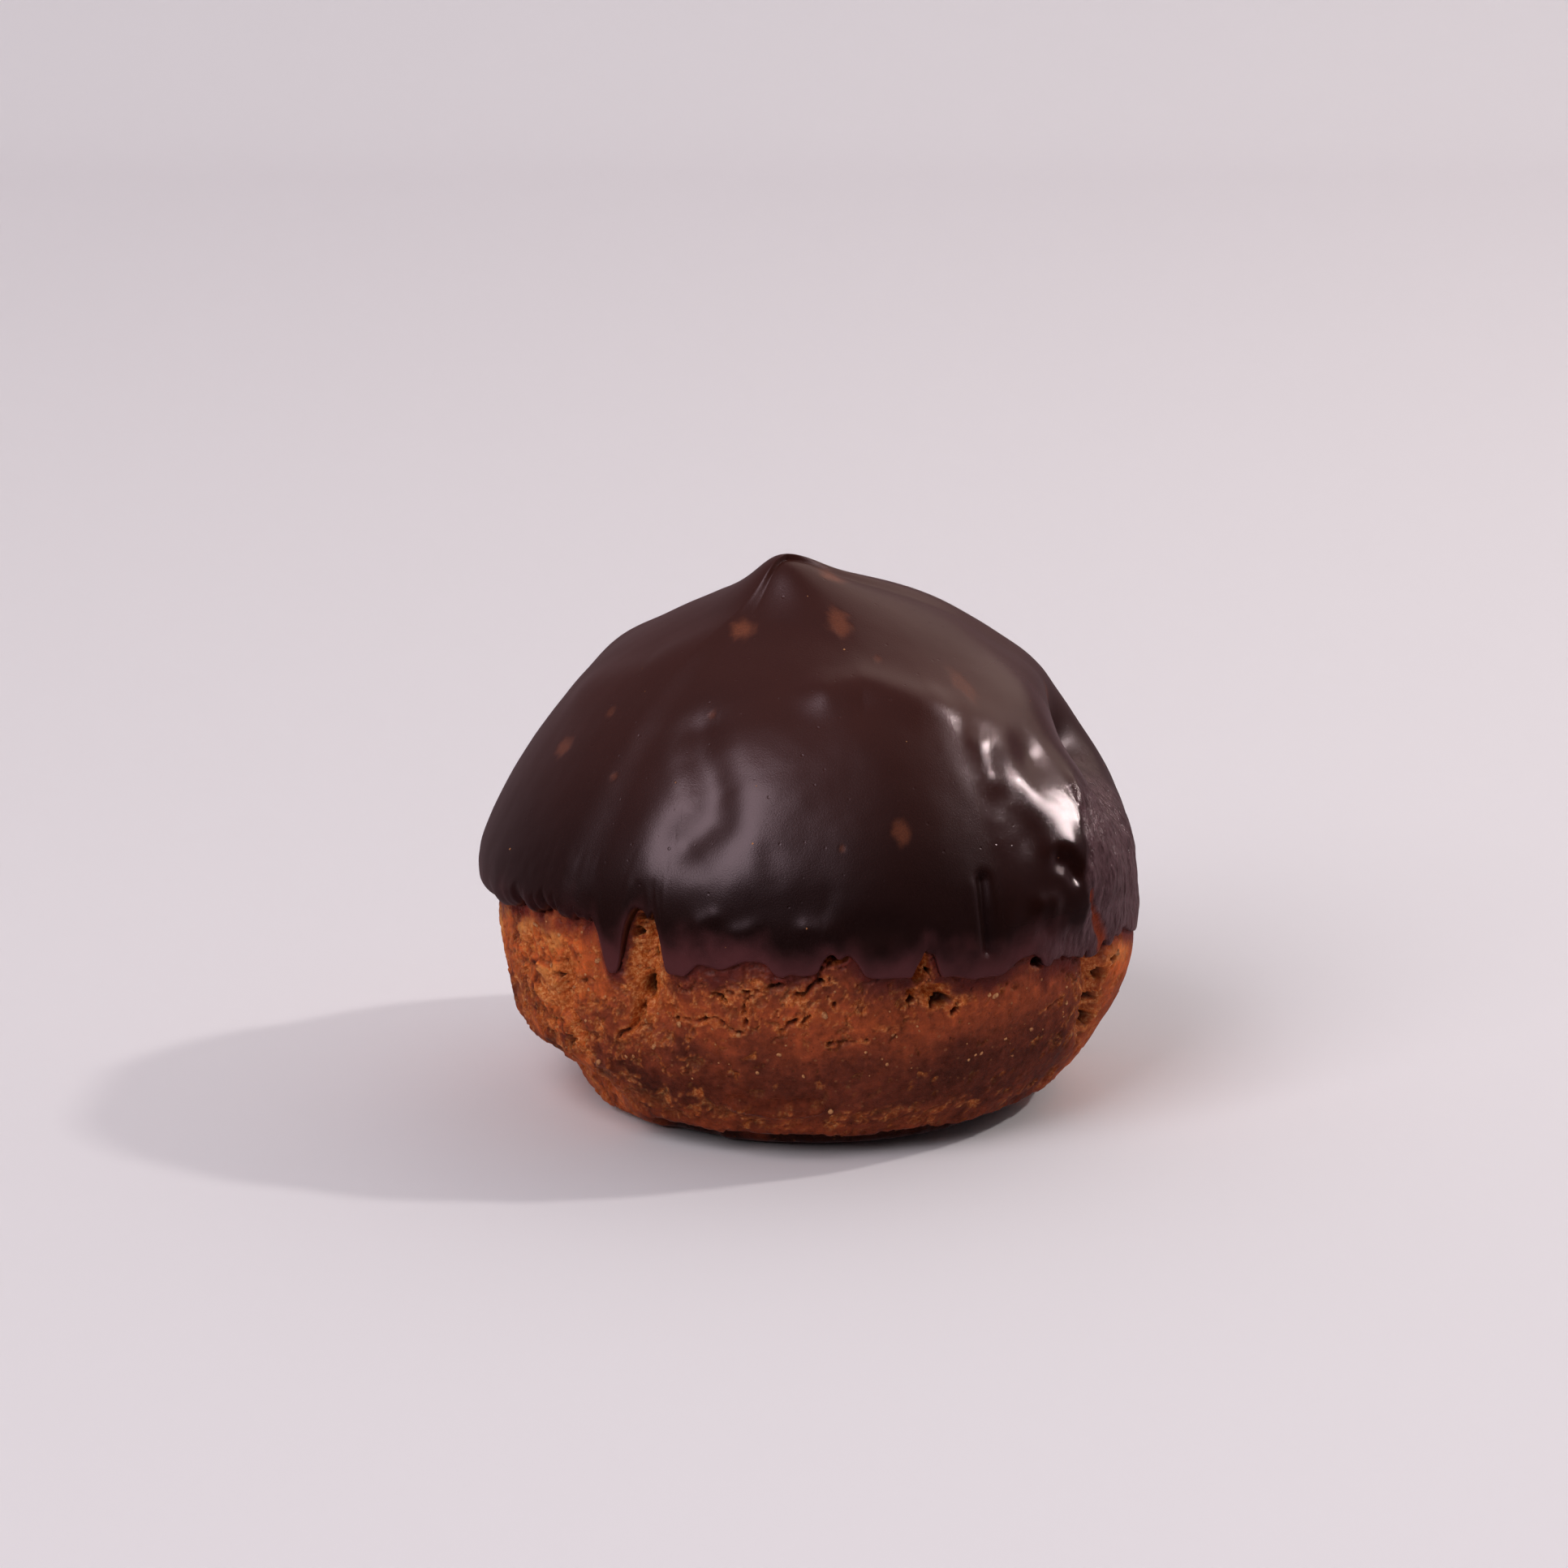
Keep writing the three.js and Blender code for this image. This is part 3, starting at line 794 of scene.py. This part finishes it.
# Marks in the chocolate: bearing and height of each end, reach, rise.
MARKS = [
    ([(32.2, 25.8), (31.9, 23.6), (32.6, 20)], 0.75, -0.6),
    ([(30.2, 25.4), (29.4, 20.6)], 1.0, 0.1),
    ([(50.5, 26), (52.5, 25.4), (53.5, 24.4)], 1.1, -0.6),
    ([(-7.9, 28.6), (-6.7, 26.8)], 1.3, -0.08),
    ([(41, 35.5), (41, 33.3)], 1.8, 0.25),
    ([(55, 34)], 3.0, -0.35),
    (RIDGE[3:], 2.5, -0.5),  # the ridge is lower where it turns down
    ([(44, 33), (45.5, 28.5)], 2.8, 0.32),
    ([(56.5, 27), (54, 24)], 3.6, 0.55),
    ([(-13, 22.4), (-11, 22.7)], 1.0, 0.2),
    ([(-1, 23.0), (2, 22.8)], 1.0, 0.2),
    ([(-10, 24.6), (2, 25.0)], 2.0, -0.2),
    ([(8, 22.6), (14, 22.6)], 1.6, -0.25),
    ([(-20, 23.0), (-17.5, 23.6)], 0.9, 0.18),
    ([(63, 31), (60.6, 28.5), (59.6, 26), (57.4, 23.8)], 0.8, 0.3),
]

# Crust and crumb that show through the chocolate, and one painted highlight among them: bearing, height, half
# width, half length, strength.
SPECKS = [
    (-40.1, 43.7, 1.0, 0.95, 0.65), (15.8, 44.4, 0.9, 1.6, 0.55), (78, 45.7, 1.1, 1.0, 0.6),
    # the speck at bearing 47.3 and height 39.9 is a painted pinkish highlight on the dome, not crust
    (-67.5, 33.5, 1.2, 0.85, 0.5), (17.3, 30.2, 0.8, 1.15, 0.38), (47.3, 39.9, 1.0, 2.0, 0.25),
    (-29.6, 38.6, 0.35, 0.35, 0.35), (5.6, 29.2, 0.3, 0.35, 0.3), (21.8, 42.3, 0.35, 0.5, 0.25),
    (-58.5, 37, 0.5, 0.5, 0.3), (-46, 33, 0.3, 0.35, 0.35), (-160, 34, 0.8, 0.6, 0.5),
    (-100, 30, 0.6, 0.8, 0.5), (150, 38, 0.7, 1.0, 0.5), (100, 36, 0.6, 0.9, 0.4),
]
FILM = (55, 95, 17, 31)  # bearings and heights of the shoulder where the glaze is only a wrinkled film
SPLIT = [(56.6, 22.6), (57.5, 21.4), (60.4, 20), (63, 18.2), (64.2, 16.8)]


def front_of_glaze(bearing, along):
    """The outside of the front below the crown, whose folds and wrinkles need closer faces."""
    return (along > 0) & (along < 0.78) & (bearing > -66) & (bearing < 92)


def specked(points):
    """How much crust or crumb shows at each point of the chocolate, with one painted highlight among the
    specks.
    """
    ragged = 1 + 0.35 * waves(points, 0.9, 2, seed=40)
    amount = np.zeros(len(points))
    for at, height, half_width, half_length, strength in SPECKS:
        away = points - place(at, height)
        across = away @ (math.cos(math.radians(at)), math.sin(math.radians(at)), 0)
        down = np.sqrt(((away**2).sum(1) - across**2).clip(0))
        off = np.hypot(across / half_width, down / half_length) * ragged
        amount = np.maximum(amount, strength * smooth(1.35, 0.45, off))
    return amount


# The chocolate's thickness in millimetres: along its edge and more over the dome, more where it ran together
# and at the left lip, less where it is only a film.
EDGE_THICK, DOME_MORE, HEAVY_MORE, LEFT_LIP_MORE, FILM_LESS = 0.05, 0.92, 0.5, 0.75, 0.3
CLEAR_OF_SKIN = 0.04
LINING_UNDER = 0.3  # the shell's inside lies this far under the plain skin
SPLIT_DEPTH, SPECK_DEPTH, WRINKLE_HEIGHT, STREAK_HEIGHT = 0.35, 0.08, 0.2, 0.03


def make_glaze():
    """The chocolate as one closed shell: its lining from the crown down to the edge, then its outside."""
    lining = np.linspace(-1, 0, LINING_ROWS, endpoint=False)
    out = np.linspace(0, 1, OUTSIDE_ROWS)
    rows = [*lining, *(0.45 * out**2.2 + 0.55 * out)]  # closest along the edge
    net, bearing, along = wrap(GLAZE_COLUMNS, rows, front_of_glaze)
    outside = along >= 0
    edge = edge_detail(bearing)
    edge_share = share_at(edge)
    share = edge_share + (1 - edge_share) * np.abs(along)
    point, outward = plain_skin(bearing, share)
    height = point[:, 2]
    above = height - edge
    radius = np.interp(share, SHARES, RADII)

    swell = rise_of(SWELLS, point)
    fold = rise_of(FOLDS, point) + rise_of(MARKS, point)
    left = smooth(40, 50, -bearing) * smooth(170, 150, -bearing)
    back = smooth(95, 110, np.abs(bearing))
    heavy = np.maximum(left, back)

    # the shoulder at the right, where it is only a film, and the split down it
    wavy = stirred(point, 2.0, 0.6, seed=33)
    bearing_wavy = np.degrees(np.arctan2(wavy[:, 0], -wavy[:, 1]))
    leaning = bearing_wavy - 0.6 * (height - 23).clip(0)
    patchy = waves(point, 4, 3, seed=52)
    first, last, lowest, highest = FILM
    film = smooth(first - 1, first + 1.5, leaning) * smooth(last + 12, last - 14, bearing_wavy + 9 * patchy)
    tall_enough = smooth(lowest, lowest + 1.5, wavy[:, 2])
    film *= tall_enough * smooth(highest + 1, highest - 2.5, wavy[:, 2] + 1.5 * patchy)
    low_film = 0.6 * smooth(41, 50, bearing_wavy) * smooth(95, 89, bearing_wavy) * smooth(3.4, 1.8, above)
    film = np.maximum(film, low_film)
    split_width = 0.28 + 0.45 * smooth(21.5, 17.5, height)
    split = np.exp(-((away_from_route(stirred(point, 1.0, 0.3, seed=34), SPLIT) / split_width) ** 4))

    # a rounded lip that grows into the body of the coat
    level = edge_level(bearing)
    lip_round = 0.4 + 1.3 * heavy
    inside = 1 - np.minimum(above / lip_round, 1)
    body = EDGE_THICK + HEAVY_MORE * heavy + DOME_MORE * smooth(-6, 5, height - level)
    body += LEFT_LIP_MORE * left * band(height, level, 3.5)
    body -= FILM_LESS * film * smooth(1, 3, above)
    thick = body * np.sqrt((1 - inside**2).clip(0))

    relief = 0.08 * waves(point, 9, 2, seed=31) + 0.03 * waves(point, 3, 2, seed=32)
    relief += film * WRINKLE_HEIGHT * waves(point, 1.0, 3, seed=35, stretch=(1, 1, 4))
    streaks = smooth(44, 48, -bearing) * smooth(64, 57, -bearing) * smooth(31, 26, height)
    relief += streaks * STREAK_HEIGHT * waves(point, 1.4, 2, seed=36, stretch=(1, 1, 4))
    speck = specked(point)
    relief -= SPLIT_DEPTH * split + SPECK_DEPTH * speck
    outer = CLEAR_OF_SKIN + thick + (fold + relief) * smooth(0, 2.5, above)
    outer += skin_waves(point) * smooth(6, 2, above)
    lift = swell + np.where(outside, outer, -LINING_UNDER)
    placed = point + outward * lift[:, None]
    placed[:, 2] += np.where(outside, PEAK_RISE * np.exp(-((radius / PEAK_REACH) ** 2)), 0)

    sheer = 1 - 0.6 * heavy
    low = 0.4 * above + 0.6 * (height - level + 1.2)
    shoulder = (1 - 0.5 * film) * smooth(32, 38, bearing) * smooth(82, 72, bearing)
    shoulder = shoulder * smooth(20, 23, height) * smooth(43, 38, height)
    layers = {
        # thin: the film along the edge, whose purple tint is partly painted reflection of the paper
        "thin": (smooth(3.4, -0.8, low + 1.5 * waves(point, 3.2, 4, seed=37)) * sheer * outside).clip(0, 1),
        "matt": smooth(24, 40, height),
        "speck": speck * outside,
        "film": film,
        "wet": np.maximum(0.5 * film, shoulder),
        "bare": split,
    }
    return finish_piece(
        net, "chocolate_coat", placed, layers, "chocolate_glaze", set_chocolate()
    )


# ---------------------------------------------------------------------------
# Crumbs

CRUMB_SEED = 8


def strew(name, piece, count, sizes, wanted):
    """Small rough crumbs, half sunk in a piece, each a squashed and dented ball of a few dozen faces.

    `sizes` is the smallest and largest radius, and `wanted` says which bearings and heights may hold one."""
    chance = random.Random(CRUMB_SEED)
    faces = [face for face in piece.data.polygons if wanted(*bearing_and_height(face.center))]
    net = bmesh.new()
    small, large = sizes
    for _ in range(count):
        face = chance.choice(faces)
        radius = (small + (large - small) * chance.random() ** 3) * MM
        lie = face.normal.to_track_quat("Z", "Y").to_matrix().to_4x4()
        spin = Matrix.Rotation(chance.uniform(0, math.tau), 4, "Z")
        long, tall = chance.uniform(0.8, 1.5), chance.uniform(0.5, 0.8)
        squash = Matrix.Diagonal((radius * long, radius, radius * tall, 1))
        where = Matrix.Translation(face.center) @ lie @ spin @ squash
        made = bmesh.ops.create_icosphere(net, subdivisions=2, radius=1, matrix=where)
        for vert in made["verts"]:
            dent = noise.noise(vert.co / radius * 1.3)
            vert.co += (vert.co - face.center) * 0.35 * dent
    points = np.array([vert.co[:] for vert in net.verts]) / MM
    return finish_piece(net, name, points, {}, None, dry_crumb())


def bearing_and_height(spot):
    """The bearing and the height in millimetres of a point in metres."""
    return math.degrees(math.atan2(spot.x, -spot.y)), spot.z / MM


def on_crust(bearing, height):
    """Whether a crumb may lie here: above the foot and clear of the chocolate."""
    return 4.5 < height < edge_height(bearing) - 1


def on_chocolate(bearing, height):
    """Whether a crumb may lie here: well above the chocolate's edge."""
    return height > edge_height(bearing) + 2


# ---------------------------------------------------------------------------
# The floor, the light and the camera


def make_floor():
    """A wide pale sheet of paper that curves up into a backdrop well behind the bun."""
    net = bmesh.new()
    front, wall, top, half_width = -0.9, 0.53, 0.55, 1.2
    bend, steps = 0.06, 12
    line = [(front, 0), (wall - bend, 0)]
    for step in range(1, steps + 1):
        angle = math.pi / 2 * step / steps
        line.append((wall - bend + bend * math.sin(angle), bend - bend * math.cos(angle)))
    line.append((wall, top))
    verts = [net.verts.new((-half_width, y, z)) for y, z in line]
    edges = [net.edges.new(pair) for pair in zip(verts, verts[1:])]
    made = bmesh.ops.extrude_edge_only(net, edges=edges)
    moved = [item for item in made["geom"] if isinstance(item, bmesh.types.BMVert)]
    bmesh.ops.translate(net, verts=moved, vec=(2 * half_width, 0, 0))
    bmesh.ops.recalc_face_normals(net, faces=net.faces)
    for face in net.faces:
        face.smooth = True
    mesh = bpy.data.meshes.new("paper_sweep")
    net.to_mesh(mesh)
    net.free()
    floor = bpy.data.objects.new("paper_sweep", mesh)
    bpy.context.scene.collection.objects.link(floor)
    # uncoated drawing paper: matt and nearly white
    material, _, shader = new_material("pale_background_paper")
    shader.inputs["Base Color"].default_value = colour("#efedf1")
    shader.inputs["Roughness"].default_value = 0.8
    mesh.materials.append(material)
    floor.visible_glossy = False  # a dull sheet: the satin chocolate shows no bright floor below its curve


def look_from(thing, spot, aim):
    """Puts a light or camera at a spot, turned to face its aim."""
    thing.location = spot
    thing.rotation_euler = (Vector(aim) - Vector(spot)).to_track_quat("-Z", "Y").to_euler()


LIT_SPOT = Vector((0, 0, 0.025))  # the middle of the bun, where every light is aimed


def make_light(name, direction, distance, width, depth, radiance, shade):
    """An area light of the given size whose face has the given brightness."""
    lamp = bpy.data.lights.new(name, "AREA")
    lamp.shape = "RECTANGLE"
    lamp.size, lamp.size_y = width, depth
    lamp.energy = radiance * math.pi * width * depth
    lamp.color = colour(shade)[:3]
    holder = bpy.data.objects.new(name, lamp)
    bpy.context.scene.collection.objects.link(holder)
    look_from(holder, LIT_SPOT + Vector(direction).normalized() * distance, LIT_SPOT)
    return holder


def make_world():
    """A room that is palest up and behind the bun, and dimmer where the glossy chocolate mirrors it."""
    world = bpy.data.worlds.new("room")
    world.use_nodes = True
    tree = world.node_tree
    tree.nodes.clear()
    way = add(tree, "TexCoord").outputs["Generated"]
    mirrored = add(tree, "LightPath").outputs["Is Glossy Ray"]
    back_and_up = add(tree, "VectorMath", {0: way, 1: (0, 0.9, 0.44)}, operation="DOT_PRODUCT")
    shade = add(tree, "MapRange", {0: back_and_up.outputs["Value"], 1: -0.4, 2: 0.8, 3: 0.04, 4: 0.55})
    dimmed = add(tree, "MapRange", {0: mirrored, 3: 1.0, 4: 0.45})
    strength = add(tree, "Math", {0: shade.outputs[0], 1: dimmed.outputs[0]}, operation="MULTIPLY")
    tone = mixed(tree, mirrored, colour("#fff7fd"), colour("#f3c9d0"))
    sky = add(tree, "Background", {"Color": tone, "Strength": strength.outputs[0]})
    add(tree, "OutputWorld", {"Surface": sky.outputs[0]})
    bpy.context.scene.world = world


def make_camera():
    """A long lens that looks at the bun from a little above the table."""
    data = bpy.data.cameras.new("camera")
    data.sensor_width = 24
    data.lens = 100
    camera = bpy.data.objects.new("camera", data)
    bpy.context.scene.collection.objects.link(camera)
    middle = (cad_low + cad_high) / 2
    aim = Vector((middle.x - 2.8 * MM, middle.y, 28.3 * MM))
    tilt = math.radians(15.5)
    distance = 593 * MM
    look_from(camera, aim + distance * Vector((0, -math.cos(tilt), math.sin(tilt))), aim)
    bpy.context.scene.camera = camera


bun = make_bun()
glaze = make_glaze()
strew("crumbs_on_crust", bun, 130, (0.08, 0.26), on_crust)
strew("crumbs_on_chocolate", glaze, 16, (0.04, 0.1), on_chocolate)
make_floor()
# a large soft box in front at the left, a panel behind at the right, and the small lamp that makes the shadow
make_light("soft_box", (-0.440, -0.606, 0.663), 1.8, 1.0, 1.2, 4.5, "#fff8fc")
make_light("tall_panel", (0.50, 0.53, 0.68), 0.7, 0.8, 0.6, 0.5, "#ffe9d6")
hard_lamp = make_light("hard_lamp", (0.741, 0.111, 0.663), 0.8, 0.04, 0.04, 330, "#fff9f4")
hard_lamp.visible_glossy = False
# the same lamp as the chocolate mirrors it: its glints are too bright for a lamp that also lights the paper
glint_lamp = make_light("glint_lamp", (0.831, 0.133, 0.540), 0.8, 0.05, 0.05, 180, "#fff9f4")
glint_lamp.visible_diffuse = False
make_world()
make_camera()
bpy.context.scene.view_settings.view_transform = "Standard"
